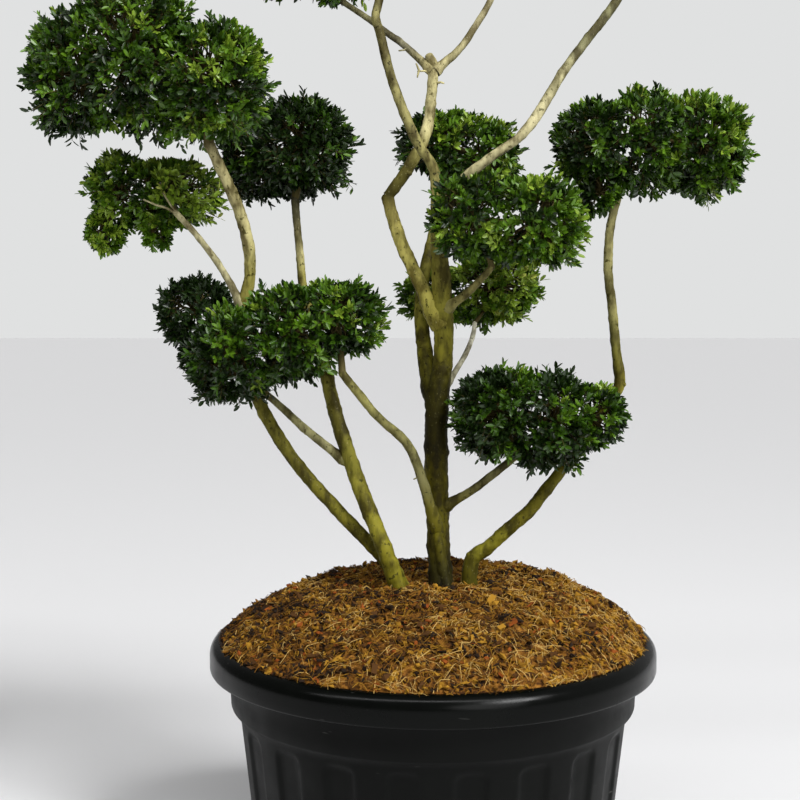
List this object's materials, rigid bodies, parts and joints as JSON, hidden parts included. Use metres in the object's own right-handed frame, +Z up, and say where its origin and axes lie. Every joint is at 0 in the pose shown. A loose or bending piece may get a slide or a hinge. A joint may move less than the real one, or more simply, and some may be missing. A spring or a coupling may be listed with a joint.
{
  "type": "potted cloud-pruned japanese holly",
  "caption": "Multi-stemmed evergreen shrub, clipped into dense cloud pads on bare stems, in a round ribbed black plastic nursery pot topped with bark and coir mulch.",
  "frame": {"origin": "centre of the pot's flat underside, on the floor", "axes": "+Z up through the pot and the plant; -Y faces the side that the picture shows; +X to the right in that view"},
  "size_m": [1.1477, 0.71, 1.7816],
  "materials": {
    "pot_plastic": "satin black moulded plastic",
    "growing_medium": "matt dark peat and bark",
    "mulch": "matt golden-brown bark and coir fibre",
    "bark": "smooth olive to grey-tan bark with dark pores",
    "foliage": "small glossy dark-green leaves"
  },
  "bodies": {
    "root": {"pot": "pot_plastic", "growing_medium": "growing_medium", "mulch_mound": "mulch", "trunk": "bark", "stem_left_front": "bark", "stem_left_rear": "bark", "stem_right": "bark", "branch_crossing": "bark", "branch_right_low": "bark", "branch_left_low": "bark", "branch_left_upper": "bark", "bough_fork_rear": "bark", "bough_elbow_lower": "bark", "bough_elbow_upper": "bark", "branch_top_left": "bark", "branch_top_middle": "bark", "bough_top_right": "bark", "branch_centre_front": "bark", "branch_centre_rear": "bark", "foliage_top_left": "foliage", "foliage_left": "foliage", "foliage_left_rear": "foliage", "foliage_low_left_rear": "foliage", "foliage_low_left": "foliage", "foliage_centre_upper": "foliage", "foliage_centre": "foliage", "foliage_centre_lower": "foliage", "foliage_right": "foliage", "foliage_low_right": "foliage", "foliage_crown_left": "foliage", "foliage_crown_middle": "foliage", "foliage_crown_right": "foliage", "foliage_crown_far_right": "foliage"}
  },
  "joints": []
}
